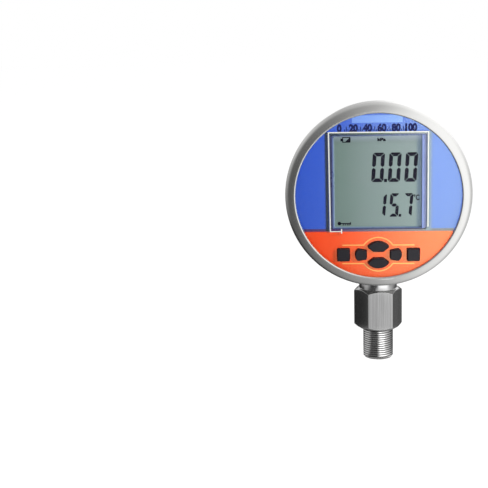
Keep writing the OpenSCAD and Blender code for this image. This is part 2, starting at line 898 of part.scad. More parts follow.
// Curved ring between the neck and the case
module neck_seal() color("dimgray")
    difference() {
        translate([0, 0, face_z - neck_top_r])
            cylinder(r = neck_r - slip_gap, h = neck_top_r - case_inner_r);
        translate([0, 0, face_z - neck_top_r - cut])
            cylinder(r = shank_hole_r, h = neck_top_r - case_inner_r + 2 * cut);
        case_axis_rod(case_r + seat_gap);
        difference() {
            case_axis_rod(case_r + 2 * neck_top_r);
            case_axis_rod(neck_top_r - seat_gap);
        }
    }

module saddle_spacer() color("gray")
    difference() {
        intersection() {
            translate([0, 0, face_z - case_r])
                cylinder(r = shank_r + saddle_w, h = saddle_top - face_z + case_r);
            case_axis_rod(case_inner_r - seat_gap);
        }
        translate([0, 0, face_z - case_r - cut])
            cylinder(r = shank_hole_r, h = saddle_top - face_z + case_r + 2 * cut);
    }

module lock_washer() color("silver")
    translate([0, 0, saddle_top])
        difference() {
            cylinder(r = shank_r + washer_w, h = washer_t);
            translate([0, 0, -cut]) cylinder(r = shank_hole_r, h = washer_t + 2 * cut);
        }

module lock_nut() color("silver")
    translate([0, 0, washer_top])
        difference() {
            cylinder(r = nut_corner_r, h = nut_t, $fn = 6);
            translate([0, 0, -cut]) cylinder(r = shank_r + thread_gap, h = nut_t + 2 * cut);
        }

module sensor_capsule() color("gainsboro")
    difference() {
        translate([0, 0, chamber_floor]) cylinder(r = capsule_r, h = capsule_h);
        translate([0, 0, chamber_floor + ring_rise - groove_half])
            difference() {
                cylinder(r = capsule_r + cut, h = 2 * groove_half);
                translate([0, 0, -cut]) cylinder(r = groove_r, h = 2 * groove_half + 2 * cut);
            }
    }

module sensor_ring_seal() color("black")
    translate([0, 0, chamber_floor + ring_rise])
        rotate_extrude()
            translate([chamber_r - ring_slack - ring_wire_r, 0]) circle(r = ring_wire_r);

module sensor_retainer() color("silver")
    translate([0, 0, capsule_top])
        difference() {
            cylinder(r = chamber_r - thread_gap, h = retainer_h);
            translate([0, 0, -cut]) cylinder(r = retainer_bore, h = retainer_h + 2 * cut);
        }

// Lead that rises from the sensor and turns forward to its plug on the board
module sensor_lead() color("white") {
    translate([0, 0, capsule_top])
        cylinder(r = lead_r, h = sensor_plug_z - lead_bend - capsule_top);
    translate([0, -lead_bend, sensor_plug_z - lead_bend])
        rotate([90, 0, 90])
            rotate_extrude(angle = 90)
                translate([lead_bend, 0]) circle(r = lead_r);
    translate([0, board_back + plug_t, sensor_plug_z])
        rotate([-90, 0, 0])
            cylinder(r = lead_r, h = -lead_bend - board_back - plug_t);
}

module sensor_plug() color("ivory")
    translate([-plug_w / 2, board_back, sensor_plug_z - plug_h / 2])
        cube([plug_w, plug_t, plug_h]);

case_shell();
bezel_ring();
bezel_gasket();
front_window();
face_panel();
front_carrier();
display_frame();
display_cell();
backlight();
contact_strips();
main_board();
key_switches();
square_key_left();
square_key_right();
arrow_key_up();
arrow_key_down();
arrow_key_left();
arrow_key_right();
square_plunger_left();
square_plunger_right();
arrow_plunger_up();
arrow_plunger_down();
arrow_plunger_left();
arrow_plunger_right();
board_screws();
board_chips();
capacitors();
clock_crystal();
standoffs();
case_screws();
battery_tray();
battery_cells();
battery_springs();
battery_contacts();
battery_lead();
battery_door();
door_gasket();
door_screws();
pressure_connector();
neck_seal();
saddle_spacer();
lock_washer();
lock_nut();
sensor_capsule();
sensor_ring_seal();
sensor_retainer();
sensor_lead();
sensor_plug();
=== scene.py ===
"""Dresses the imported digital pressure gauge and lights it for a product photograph."""

import json
import math

import bpy
from mathutils import Matrix, Vector


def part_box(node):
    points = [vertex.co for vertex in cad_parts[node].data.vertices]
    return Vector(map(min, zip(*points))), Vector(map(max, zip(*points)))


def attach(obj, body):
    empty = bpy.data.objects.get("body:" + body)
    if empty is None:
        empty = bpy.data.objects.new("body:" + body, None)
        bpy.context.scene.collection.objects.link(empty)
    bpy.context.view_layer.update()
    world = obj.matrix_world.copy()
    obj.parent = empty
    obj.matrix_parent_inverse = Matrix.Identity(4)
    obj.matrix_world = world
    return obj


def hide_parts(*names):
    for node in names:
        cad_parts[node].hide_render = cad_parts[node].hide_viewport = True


bl_info = {
    "name": "Digital pressure gauge",
    "version": (1, 0, 0),
    "blender": (4, 5, 0),
    "location": "3D View > Sidebar > Gauge",
    "description": "Dresses the packed digital pressure gauge and lights it for a photograph",
    "category": "Object",
}

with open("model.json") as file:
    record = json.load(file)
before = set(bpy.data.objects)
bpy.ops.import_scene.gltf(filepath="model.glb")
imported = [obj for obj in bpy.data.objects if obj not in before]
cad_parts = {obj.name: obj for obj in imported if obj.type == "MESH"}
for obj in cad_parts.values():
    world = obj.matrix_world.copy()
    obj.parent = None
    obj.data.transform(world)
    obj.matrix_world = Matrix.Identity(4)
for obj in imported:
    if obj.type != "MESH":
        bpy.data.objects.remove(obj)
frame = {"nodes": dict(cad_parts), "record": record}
NODES = frame["nodes"]
MM = 0.001
KEYS = [
    "square_key_left", "square_key_right", "arrow_key_up",
    "arrow_key_down", "arrow_key_left", "arrow_key_right",
]


def middle(node):
    """Middle of a CAD node's box."""
    low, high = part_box(node)
    return (low + high) / 2


FACE_Z = middle("bezel_ring").z
WINDOW_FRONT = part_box("front_window")[0].y
PANEL_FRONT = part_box("face_panel")[0].y
CELL_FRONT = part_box("display_cell")[0].y
KEYPAD_Z = (middle("arrow_key_up").z + middle("arrow_key_down").z) / 2 - FACE_Z

# Printed ink: its thickness, and how far its front stands before the glass or panel
INK_DEPTH = 0.02 * MM
INK_FRONT = CELL_FRONT - 0.03 * MM

# Radii and heights of the connector in millimetres, as the CAD part has them
THREAD_R, THREAD_START_R, THREAD_TOP = 10.0, 8.85, 20.0
HEX_BOTTOM, HEX_TOP, HEX_HALF_FLATS, HEX_TURN = 20.9, 48.4, 14.0, math.radians(5.5)
LOWER_LAND_R, UPPER_LAND_R, HEX_SLOPE = 12.6, 13.0, math.tan(math.radians(33))
NECK_R, CHAMBER_R = 12.6, 6.6


# Settings -------------------------------------------------------------------


class GaugeSteelSettings(bpy.types.PropertyGroup):
    bezel_colour: bpy.props.FloatVectorProperty(
        name="Bezel colour", description="Base colour of the bezel and case",
        default=(0.62, 0.62, 0.61), subtype="COLOR")
    connector_colour: bpy.props.FloatVectorProperty(
        name="Connector colour", description="Base colour of the connector",
        default=(0.60, 0.60, 0.60), subtype="COLOR")
    thread_pitch: bpy.props.FloatProperty(
        name="Thread pitch", description="Pitch of the connector's thread",
        default=0.0015, unit="LENGTH")
    thread_depth: bpy.props.FloatProperty(
        name="Thread depth", description="Depth of the thread's grooves",
        default=0.00064, unit="LENGTH")


class GaugeFaceSettings(bpy.types.PropertyGroup):
    blue: bpy.props.FloatVectorProperty(
        name="Upper colour", description="Printed colour above the boundary",
        default=(0.0175, 0.069, 0.475), subtype="COLOR")
    orange: bpy.props.FloatVectorProperty(
        name="Lower colour", description="Printed colour below the boundary",
        default=(0.88, 0.036, 0.002), subtype="COLOR")
    outline: bpy.props.FloatVectorProperty(
        name="Outline colour", description="Printed outline round the arrow keys",
        default=(1.0, 0.36, 0.08), subtype="COLOR")
    boundary: bpy.props.FloatProperty(
        name="Boundary", description="Height of the colour boundary above the face's centre",
        default=-0.0232, unit="LENGTH")
    line_width: bpy.props.FloatProperty(
        name="Line width", description="Width of the white line on the window",
        default=0.00078, unit="LENGTH")


class GaugeDisplaySettings(bpy.types.PropertyGroup):
    glass: bpy.props.FloatVectorProperty(
        name="Display colour", description="Colour of the display behind its figures",
        default=(0.135, 0.205, 0.172), subtype="COLOR")
    ink: bpy.props.FloatVectorProperty(
        name="Segment colour", description="Colour of the dark segments",
        default=(0.004, 0.003, 0.009), subtype="COLOR")
    upper: bpy.props.StringProperty(
        name="Upper reading", description="Figures of the upper reading", default="0.00")
    lower: bpy.props.StringProperty(
        name="Lower reading", description="Figures of the lower reading", default="15.7")


class GaugeStageSettings(bpy.types.PropertyGroup):
    camera_place: bpy.props.FloatVectorProperty(
        name="Camera place", description="Where the camera stands",
        default=(-0.010818, -0.723507, 0.234574), unit="LENGTH")
    camera_turn: bpy.props.FloatVectorProperty(
        name="Camera turn", description="Yaw, pitch below level and roll of the camera, in degrees",
        default=(6.237, 12.120, -1.671))
    lens: bpy.props.FloatProperty(
        name="Lens", description="Focal length for a sensor 36 mm wide", default=81.15)
    key_power: bpy.props.FloatProperty(
        name="Key power", description="Power of the key light", default=13.2, unit="POWER")
    room: bpy.props.FloatProperty(
        name="Room light", description="Strength of the soft light from all round", default=0.10)


SETTINGS = (
    ("gauge_steel", GaugeSteelSettings),
    ("gauge_face", GaugeFaceSettings),
    ("gauge_display", GaugeDisplaySettings),
    ("gauge_stage", GaugeStageSettings),
)


# Modelling helpers ----------------------------------------------------------


def named(piece, name):
    piece.name = piece.data.name = name
    return piece


def edit_mode(active=True):
    bpy.ops.object.mode_set(mode="EDIT" if active else "OBJECT")


def edit_all(step, **values):
    """Takes one edit-mode step on the whole mesh of the active piece."""
    edit_mode()
    bpy.ops.mesh.select_all(action="SELECT")
    step(**values)
    edit_mode(False)


def edit_some(kind, chosen, step, **values):
    """Takes one edit-mode step on those vertices, edges or faces that are chosen."""
    edit_mode()
    bpy.ops.mesh.select_mode(type=kind)
    bpy.ops.mesh.select_all(action="DESELECT")
    edit_mode(False)
    mesh = bpy.context.object.data
    for part in {"VERT": mesh.vertices, "EDGE": mesh.edges, "FACE": mesh.polygons}[kind]:
        part.select = chosen(part)
    edit_mode()
    step(**values)
    edit_mode(False)


def only(*pieces):
    """Selects these pieces and nothing else, with the first one active."""
    bpy.ops.object.select_all(action="DESELECT")
    for piece in pieces:
        piece.select_set(True)
    if pieces:
        bpy.context.view_layer.objects.active = pieces[0]


def outline_piece(name, points, fill="NOTHING"):
    """A circle primitive of as many corners as the outline has, drawn out to its points."""
    only()
    bpy.ops.mesh.primitive_circle_add(vertices=len(points), radius=1, fill_type=fill)
    piece = named(bpy.context.object, name)
    for vertex, point in zip(piece.data.vertices, points):
        vertex.co = point
    return piece


def face_outward():
    edit_all(bpy.ops.mesh.normals_make_consistent, inside=False)


def apply_modifier(piece, kind, **values):
    modifier = piece.modifiers.new(kind.title(), kind)
    for name, value in values.items():
        setattr(modifier, name, value)
    bpy.context.view_layer.objects.active = piece
    bpy.ops.object.modifier_apply(modifier=modifier.name)


def smooth(piece, degrees=28):
    only(piece)
    bpy.ops.object.shade_smooth_by_angle(angle=math.radians(degrees))


def move(piece, offset):
    """Moves the piece's mesh, so that its object stays at the origin."""
    only(piece)
    edit_all(bpy.ops.transform.translate, value=offset)


def join(name, pieces):
    only(*pieces)
    bpy.ops.object.join()
    return named(pieces[0], name)


def plate(name, outline, front, depth=INK_DEPTH):
    """Flat piece on the face: outline in x and height from its centre, in millimetres."""
    piece = outline_piece(name, [(x * MM, front, FACE_Z + z * MM) for x, z in outline], "NGON")
    edit_all(bpy.ops.mesh.extrude_region_move, TRANSFORM_OT_translate={"value": (0, depth, 0)})
    face_outward()
    return piece


def box_outline(x0, x1, z0, z1):
    return [(x0, z0), (x1, z0), (x1, z1), (x0, z1)]


def turned(name, profile, steps, axis="Z"):
    """Closed profile in millimetres of radius and height, turned about Z or the face's axis."""
    points = [(r * MM, 0, h * MM) if axis == "Z" else (r * MM, h * MM, 0) for r, h in profile]
    piece = outline_piece(name, points)
    apply_modifier(piece, "SCREW", axis=axis, angle=math.tau, steps=steps, render_steps=steps,
                   use_merge_vertices=True, merge_threshold=1e-6)
    face_outward()
    if axis == "Y":
        move(piece, (0, 0, FACE_Z))
    return piece


def place(piece, body, material):
    """Gives a finished piece its material and lets it ride on its body."""
    piece.data.materials.clear()
    piece.data.materials.append(MATERIALS[material])
    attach(piece, body)
    return piece


# Shader helpers -------------------------------------------------------------


class Term:
    """A value in a node tree, with which sums are written as usual."""

    def __init__(self, graph, socket):
        self.graph, self.socket = graph, socket

    def __add__(self, other):
        return self.graph.math("ADD", self, other)

    def __sub__(self, other):
        return self.graph.math("SUBTRACT", self, other)

    def __rsub__(self, other):
        return self.graph.math("SUBTRACT", other, self)

    def __mul__(self, other):
        return self.graph.math("MULTIPLY", self, other)

    def __abs__(self):
        return self.graph.math("ABSOLUTE", self)


class Graph:
    """Adds nodes to a tree and links them."""

    def __init__(self, tree):
        self.tree = tree

    def node(self, kind, values=(), **settings):
        made = self.tree.nodes.new("ShaderNode" + kind)
        for name, value in settings.items():
            setattr(made, name, value)
        for key, value in dict(values).items():
            self.feed(made.inputs[key], value)
        return made

    def feed(self, socket, value):
        if isinstance(value, Term):
            value = value.socket
        if isinstance(value, bpy.types.NodeSocket):
            self.tree.links.new(value, socket)
        else:
            socket.default_value = value

    def term(self, kind, values, **settings):
        """The first result of a new node."""
        return Term(self, self.node(kind, values, **settings).outputs[0])

    def math(self, operation, *terms):
        return self.term("Math", dict(enumerate(terms)), operation=operation)

    def near(self, value, mid, half):
        """1 where the value is within half of mid."""
        return self.math("COMPARE", value, mid, half)

    def length(self, a, b):
        return self.math("SQRT", a * a + b * b)

    def split(self, vector):
        """The x, y and z of a vector."""
        return [Term(self, part) for part in self.node("SeparateXYZ", {0: vector}).outputs]

    def mix(self, factor, a, b, blend="MIX"):
        return self.node("Mix", {0: factor, 6: a, 7: b}, data_type="RGBA",
                         blend_type=blend).outputs[2]

    def blend(self, factor, a, b):
        """Mixes two shaders."""
        return self.node("MixShader", {0: factor, 1: a.outputs[0], 2: b.outputs[0]})

    def noise(self, vector, scale, detail=4.0, roughness=0.5):
        return self.term("TexNoise", {
            "Vector": vector, "Scale": scale, "Detail": detail, "Roughness": roughness})

    def remap(self, value, start, end, low=0.0, high=1.0, kind="LINEAR"):
        """Maps start to end onto low to high."""
        return self.term("MapRange", {
            "Value": value, "From Min": start, "From Max": end, "To Min": low, "To Max": high},
            interpolation_type=kind)

    def fade(self, value, start, end, top=1.0):
        """The top value up to the start, falling to 0 at the end."""
        return self.remap(value, start, end, top, 0.0, "SMOOTHSTEP")

    def show(self, shader):
        self.feed(self.output.inputs["Surface"], shader.outputs[0])


def cleared(owner, output="OutputMaterial"):
    """Graph of a material or world whose nodes are cleared but for its output."""
    owner.use_nodes = True
    owner.node_tree.nodes.clear()
    g = Graph(owner.node_tree)
    g.output = g.node(output)
    return g


def colour4(rgb):
    return (rgb[0], rgb[1], rgb[2], 1.0)


def grey(level):
    return (level, level, level, 1)


# Shared surfaces ------------------------------------------------------------

KINDS = {"v": "NodeSocketVector", "f": "NodeSocketFloat", "c": "NodeSocketColor"}
RESULTS = {"Color": "c", "Roughness": "f", "Height": "f"}


def new_group(name, inputs):
    """A surface's group with its inputs: its graph, and what it is given."""
    tree = bpy.data.node_groups.new(name, "ShaderNodeTree")
    for socket, kind, default in (("Vector", "v", None), *inputs):
        made = tree.interface.new_socket(name=socket, in_out="INPUT", socket_type=KINDS[kind])
        if default is not None:
            made.default_value = default
    for socket, kind in RESULTS.items():
        tree.interface.new_socket(name=socket, in_out="OUTPUT", socket_type=KINDS[kind])
    g = Graph(tree)
    given = tree.nodes.new("NodeGroupInput").outputs
    return g, {socket.name: Term(g, socket) for socket in given}


def give(g, *results):
    """Ends a surface's group with its colour, roughness and height."""
    out = g.tree.nodes.new("NodeGroupOutput").inputs
    for name, result in zip(RESULTS, results):
        g.feed(out[name], result)
    return g.tree


def turned_steel_group():
    """Fine marks of a lathe about an axis: rings whose strength wanders along the turn."""
    g, given = new_group("Turned Steel", [
        ("Centre", "v", (0, 0, 0)), ("Along Y", "f", 0.0), ("Ring Scale", "f", 2500.0),
        ("Base Color", "c", grey(0.6)), ("Roughness", "f", 0.25)])
    x, y, z = g.split(g.term("VectorMath", {0: given["Vector"], 1: given["Centre"]},
                             operation="SUBTRACT"))
    along, across = (g.term("Mix", {0: given["Along Y"], 2: a, 3: b})
                     for a, b in ((z, y), (y, z)))
    angle = g.math("ARCTAN2", across, x)
    rings = g.term("CombineXYZ", {
        0: (g.length(x, across) + along) * given["Ring Scale"],
        1: g.math("SINE", angle), 2: g.math("COSINE", angle)})
    fine = g.noise(rings, 1.0, 3.0, 0.6)
    stain = g.noise(given["Vector"], 45.0, 5.0, 0.55)
    return give(g, g.mix(stain * 0.22, given["Base Color"], (0.46, 0.45, 0.44, 1)),
                given["Roughness"] + (fine - 0.5) * 0.16, fine)


def brushed_steel_group():
    """Straight brush marks along the Z axis."""
    g, given = new_group("Brushed Steel", [
        ("Base Color", "c", grey(0.6)), ("Roughness", "f", 0.25)])
    drawn_out = g.term("Mapping", {"Vector": given["Vector"], "Scale": (1, 1, 0.012)})
    fine = g.noise(drawn_out, 3600.0, 3.0, 0.6)
    broad = g.noise(drawn_out, 700.0, 2.0, 0.5)
    streak = fine * 0.5 + broad * 0.5
    strong = g.remap(streak, 0.36, 0.64, 0.0, 0.75)
    return give(g, g.mix(strong, given["Base Color"], grey(0.36)),
                given["Roughness"] + (streak - 0.5) * 0.25, streak)


def moulded_group():
    """Fine grain, faint mottling and dust of a moulded or rubbery surface."""
    g, given = new_group("Moulded Grain", [
        ("Base Color", "c", grey(0.1)), ("Roughness", "f", 0.5),
        ("Grain Scale", "f", 3000.0), ("Mottle", "f", 0.15)])
    grain = g.noise(given["Vector"], given["Grain Scale"], 2.0)
    cloud = g.noise(given["Vector"], 90.0, 5.0, 0.6)
    lighter = g.mix(1.0, given["Base Color"], grey(0.03), "ADD")
    return give(g, g.mix(cloud * given["Mottle"], given["Base Color"], lighter),
                given["Roughness"] + (cloud - 0.5) * 0.18, grain)


def face_print_group():
    """The printed face in millimetres from its centre: two fields, a border partly painted as the
    white line's shadow, and outlines.
    """
    g, given = new_group("Face Print", [
        ("Centre", "v", (0, 0, 0)), ("Upper Color", "c", None), ("Lower Color", "c", None),
        ("Outline Color", "c", None), ("Boundary", "f", -22.45), ("Keypad", "f", -38.8)])
    local = g.term("VectorMath", {0: given["Vector"], 1: given["Centre"]}, operation="SUBTRACT")
    x, _, z = g.split(g.term("VectorMath", {0: local, "Scale": 1000.0}, operation="SCALE"))
    upper = g.math("GREATER_THAN", z, given["Boundary"])
    colour = g.mix(upper, given["Lower Color"], given["Upper Color"])
    # Soft dark line where the fields meet
    off = abs(z - given["Boundary"] - 0.5)
    colour = g.mix(g.fade(off, 0.55, 1.35, 0.95), colour, (0.060, 0.006, 0.085, 1))
    # Dark border round the display's opening, strong at the left and above, faint at the right: at
    # the left and above it is partly a printed border, partly the painted shadow of the white line
    beside = g.near(z, 9.0, 32.2)
    left = g.fade(abs(x + 32.7), 0.5, 2.0, 0.97) * beside
    right = g.fade(x, 32.3, 35.4, 0.95) * (g.math("GREATER_THAN", x, 30.4) * beside)
    above = g.near(z, 40.2, 1.0) * g.near(x, 0.0, 31.0) * 0.9
    colour = g.mix(right, colour, (0.09, 0.10, 0.21, 1))
    # Painted shadow of the white line, dark navy, to the left of it
    colour = g.mix(left, colour, (0.003, 0.001, 0.050, 1))
    # Painted shadow under the white line's top, paler towards the right
    colour = g.mix(above, colour, g.mix(g.fade(x, 0.0, 31.0), (0.11, 0.085, 0.17, 1),
                                        (0.010, 0.012, 0.020, 1)))
    # Plain pale field above the scale
    field = g.near(x, -0.4, 16.0) * g.near(z, 49.3, 2.35)
    colour = g.mix(field * 0.55, colour, (0.22, 0.37, 0.76, 1))
    # Outline round the arrow keys, running out into lines, with a darker edge outside it
    drop = z - given["Keypad"]
    away, side, radius = abs(drop), abs(x), g.length(x, drop)
    for offset, half, strength, ink in ((0.42, 0.42, 0.45, (0.60, 0.055, 0.012, 1)),
                                        (0.0, 0.36, 0.95, given["Outline Color"])):
        ring = g.near(radius, 11.2 + offset, half) * g.math("GREATER_THAN", away, 5.9 + offset)
        line = g.near(away, 6.15 + offset, half) * g.near(side, 16.3, 7.0)
        colour = g.mix(g.math("MAXIMUM", ring, line) * strength, colour, ink)
    speckle = g.noise(given["Vector"], 2600.0, 2.0)
    cloud = g.noise(given["Vector"], 30.0, 3.0)
    colour = g.mix(cloud * 0.25, colour, (0.85, 0.85, 0.9, 1), "MULTIPLY")
    return give(g, colour, g.remap(speckle, 0, 1, 0.24, 0.32), speckle)


# Materials ------------------------------------------------------------------

GROUPS = {}
MATERIALS = {}


def new_material(name):
    """A material with its graph, its shader, and the place in the object's own space."""
    material = bpy.data.materials.new(name)
    g = cleared(material)
    shader = g.node("BsdfPrincipled")
    g.show(shader)
    return material, g, shader, g.node("TexCoord").outputs["Object"]


def surfaced(g, group, values):
    """Adds a shared surface: its colour, roughness and height."""
    made = g.node("Group")
    made.node_tree = GROUPS[group]
    for name, value in values.items():
        g.feed(made.inputs[name], value)
    return [made.outputs[name] for name in RESULTS]


def wire(g, shader, surface, depth, strength, uniform=()):
    """Joins colour, roughness and height to the shader, and sets its plain values."""
    colour, roughness, height = surface
    relief = g.node("Bump", {"Strength": strength, "Distance": depth, "Height": height})
    for name, value in (("Base Color", colour), ("Roughness", roughness),
                        ("Normal", relief.outputs[0]), *dict(uniform).items()):
        g.feed(shader.inputs[name], value)


def steel(name, base, roughness, rings=2500.0, depth=0.00001, strength=0.35, on_face=False,
          tint=None):
    """Steel turned about the face's axis or the connector's. A tint changes its colour, here to
    paint shade.
    """
    material, g, shader, where = new_material(name)
    colour, *rest = surfaced(g, "Turned Steel", {
        "Vector": where, "Centre": (0, 0, FACE_Z if on_face else 0), "Along Y": float(on_face),
        "Ring Scale": rings, "Base Color": colour4(base), "Roughness": roughness})
    if tint:
        colour = tint(g, *g.split(where), colour)
    wire(g, shader, (colour, *rest), depth, strength, {"Metallic": 1.0})
    return material


def painted_shade_under_bezel(g, x, y, z, colour):
    """Painted shade: darker where the bezel stands over the neck."""
    return g.mix(0.75 - g.fade(z, 51.0 * MM, 55.5 * MM, 0.75), colour, grey(0.05))


def painted_shade_in_grooves(g, x, y, z, colour):
    """Painted shade: darker down in the grooves of the thread."""
    up = g.remap(g.length(x, y), 9.35 * MM, 9.85 * MM)
    return g.mix(up, (0.24, 0.235, 0.23, 1), colour)


def brushed(name, base, roughness):
    material, g, shader, where = new_material(name)
    wire(g, shader, surfaced(g, "Brushed Steel", {
        "Vector": where, "Base Color": colour4(base), "Roughness": roughness}),
        0.00001, 0.3, {"Metallic": 1.0})
    return material


def moulded(name, base, roughness, grain=3000.0, mottle=0.15, depth=0.00001, strength=0.3,
            metallic=0.0, coat=0.0, sheen=0.5):
    material, g, shader, where = new_material(name)
    wire(g, shader, surfaced(g, "Moulded Grain", {
        "Vector": where, "Base Color": colour4(base), "Roughness": roughness,
        "Grain Scale": grain, "Mottle": mottle}),
        depth, strength, {
            "Metallic": metallic, "Coat Weight": coat, "Specular IOR Level": sheen})
    return material


def printed_face_material():
    settings = bpy.context.scene.gauge_face
    material, g, shader, where = new_material("printed face")
    wire(g, shader, surfaced(g, "Face Print", {
        "Vector": where, "Centre": (0, 0, FACE_Z), "Upper Color": colour4(settings.blue),
        "Lower Color": colour4(settings.orange), "Outline Color": colour4(settings.outline),
        "Boundary": settings.boundary / MM, "Keypad": KEYPAD_Z / MM}),
        0.000004, 0.2, {"Specular IOR Level": 1.0, "Specular Tint": (0.82, 1.0, 0.46, 1)})
    return material


def window_material():
    """Clear plate: it lets light straight through and mirrors a little at its surface."""
    material, g, shader, where = new_material("clear window")
    smudge = g.noise(where, 55.0, 4.0, 0.6)
    for name, value in {
            "Base Color": (0.98, 0.99, 1.0, 1), "Transmission Weight": 1.0, "IOR": 1.02,
            "Roughness": g.remap(smudge, 0, 1, 0.02, 0.05)}.items():
        g.feed(shader.inputs[name], value)
    gloss = g.node("BsdfGlossy", {"Roughness": g.remap(smudge, 0, 1, 0.10, 0.20)})
    clear = g.node("BsdfTransparent", {"Color": (0.97, 0.985, 1.0, 1)})
    front = g.math("SUBTRACT", 1.0, g.node("NewGeometry").outputs["Backfacing"])
    lit = g.math("SUBTRACT", 1.0, g.node("LightPath").outputs["Is Shadow Ray"])
    g.show(g.blend(g.term("Fresnel", {"IOR": 1.09}) * front * lit, clear, gloss))
    return material


def display_material():
    material, g, shader, where = new_material("liquid crystal")
    cloud = g.noise(where, 38.0, 4.0, 0.55)
    weave = g.noise(where, 5200.0, 1.0)
    x, _, z = g.split(where)
    colour = g.mix(cloud * 0.6, colour4(bpy.context.scene.gauge_display.glass),
                   (0.19, 0.21, 0.205, 1))
    # Painted light: darker and greener at the left where its sheen is weak, a painted shadow of the
    # frame towards the right edge, and a painted highlight below the frame's top
    colour = g.mix(g.fade(x, -29.0 * MM, -3.0 * MM, 0.38), colour, (0.085, 0.145, 0.105, 1))
    shade = (1.0 - g.fade(x, 23.3 * MM, 26.6 * MM)) * 0.9
    colour = g.mix(shade, colour, (0.022, 0.075, 0.125, 1))
    painted_top_highlight = 0.30 - g.fade(z, FACE_Z + 33.5 * MM, FACE_Z + 38.0 * MM, 0.30)
    colour = g.mix(painted_top_highlight, colour, (0.42, 0.46, 0.60, 1))
    # The display glows with its own colour as if backlit: painted light that evens out its shading,
    # and the painted shade and highlight glow with it
    wire(g, shader, (g.mix(1.0, colour, grey(0.42), "MULTIPLY"),
                     g.remap(weave, 0, 1, 0.26, 0.34), weave), 0.000003, 0.2,
         {"Emission Color": colour, "Emission Strength": 0.62, "Specular IOR Level": 0.5})
    return material


def frame_material():
    """Blue plastic, dark at its stepped edge with painted shadow, and paler down the slopes to the
    display with painted light.
    """
    material, g, shader, where = new_material("display frame")
    x, y, _ = g.split(where)
    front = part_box("display_frame")[0].y
    # Painted light: the slopes down to the display are paler than the front
    deep = g.fade(y, front + 0.2 * MM, front + 2.2 * MM)
    colour = g.mix(deep, (0.21, 0.27, 0.34, 1), (0.070, 0.100, 0.235, 1))
    # Painted shadow of the step along its left and right edges
    edge = g.fade(abs(x - 0.15 * MM), 29.2 * MM, 29.7 * MM)
    colour = g.mix(edge, (0.035, 0.028, 0.075, 1), colour)
    wire(g, shader, surfaced(g, "Moulded Grain", {
        "Vector": where, "Base Color": colour, "Roughness": 0.30, "Mottle": 0.1}),
        0.000008, 0.2, {
            "IOR": 1.6, "Specular IOR Level": 1.0, "Specular Tint": (0.62, 0.68, 1.0, 1)})
    return material


def board_material():
    """Solder mask with faint traces."""
    material, g, shader, where = new_material("circuit board")
    brick = g.node("TexBrick", {
        "Vector": where, "Color1": (0.012, 0.10, 0.035, 1), "Color2": (0.02, 0.14, 0.05, 1),
        "Mortar": (0.03, 0.20, 0.07, 1), "Scale": 320.0, "Mortar Size": 0.03}).outputs
    cloud = g.noise(where, 120.0)
    wire(g, shader, (g.mix(cloud * 0.3, brick[0], (0.01, 0.06, 0.02, 1)),
                     g.remap(cloud, 0, 1, 0.25, 0.4), brick[1]), 0.00003, 0.3)
    return material


# Colour, roughness and what else differs, for the moulded materials
MOULDED = {
    "dark_plastic": ((0.018, 0.018, 0.02), 0.5),
    "light_plate": ((0.8, 0.82, 0.8), 0.5),
    "seal_rubber": ((0.02, 0.02, 0.02), 0.6),
    "key_rubber": ((0.008, 0.007, 0.010), 0.45, 2200.0, 0.45, 0.00003, 0.3, 0.0, 0.0, 0.10),
    "chip_plastic": ((0.02, 0.02, 0.022), 0.5),
    "metal_cans": ((0.7, 0.7, 0.72), 0.3, 3000.0, 0.15, 0.00001, 0.3, 1.0),
    "nickel_contacts": ((0.72, 0.70, 0.66), 0.22, 3000.0, 0.15, 0.00001, 0.3, 1.0),
    "cell_jackets": ((0.62, 0.20, 0.03), 0.32, 3000.0, 0.15, 0.00001, 0.3, 0.0, 0.4),
    "wire_sheath": ((0.5, 0.03, 0.02), 0.45),
    "pale_plastic": ((0.78, 0.75, 0.68), 0.45),
    "white_ink": ((0.60, 0.61, 0.56), 0.3, 5000.0, 0.2),
}


def ink(name, base):
    return moulded(name, base, 0.45, 5000.0, 0.2, 0.000003, 0.2, sheen=0.05)


def make_materials():
    steel_set = bpy.context.scene.gauge_steel
    bezel, connector = steel_set.bezel_colour, steel_set.connector_colour
    for make in (turned_steel_group, brushed_steel_group, moulded_group, face_print_group):
        tree = make()
        GROUPS[tree.name] = tree
    MATERIALS.update({
        "steel_bezel": steel("satin bezel", bezel, 0.24, 4200.0, 0.000004, 0.25, True),
        "steel_case": steel("satin case", bezel, 0.30, 3000.0, 0.000006, 0.3, True),
        "steel_connector": steel("machined connector", connector, 0.15, 3000.0, 0.000004, 0.25,
                                 tint=painted_shade_under_bezel),
        "steel_thread": steel("machined thread", connector, 0.16, 2500.0, 0.000003, 0.2,
                              tint=painted_shade_in_grooves),
        "steel_hexagon": brushed("brushed hexagon", connector, 0.20),
        "steel_fasteners": steel("bright fasteners", (0.66, 0.66, 0.66), 0.24, on_face=True),
        "brass_parts": steel("turned brass", (0.72, 0.52, 0.24), 0.26),
        "window_glass": window_material(),
        "printed_face": printed_face_material(),
        "frame_plastic": frame_material(),
        "display_glass": display_material(),
        "board_laminate": board_material(),
        "ink": ink("segment ink", bpy.context.scene.gauge_display.ink),
        "navy_ink": ink("navy ink", (0.010, 0.013, 0.075)),
    })
    for slot, values in MOULDED.items():
        MATERIALS[slot] = moulded(slot.replace("_", " "), *values)


# Pieces ---------------------------------------------------------------------


class GAUGE_OT_materials(bpy.types.Operator):
    """Make the materials and give each CAD node its own"""
    bl_idname = "gauge.materials"
    bl_label = "Materials"

    def execute(self, context):
        make_materials()
        slots = {s["node"]: s["material_slot"] for s in frame["record"]["subparts"]}
        for name, piece in NODES.items():
            piece.data.materials.clear()
            piece.data.materials.append(MATERIALS[slots[name]])
        return {"FINISHED"}


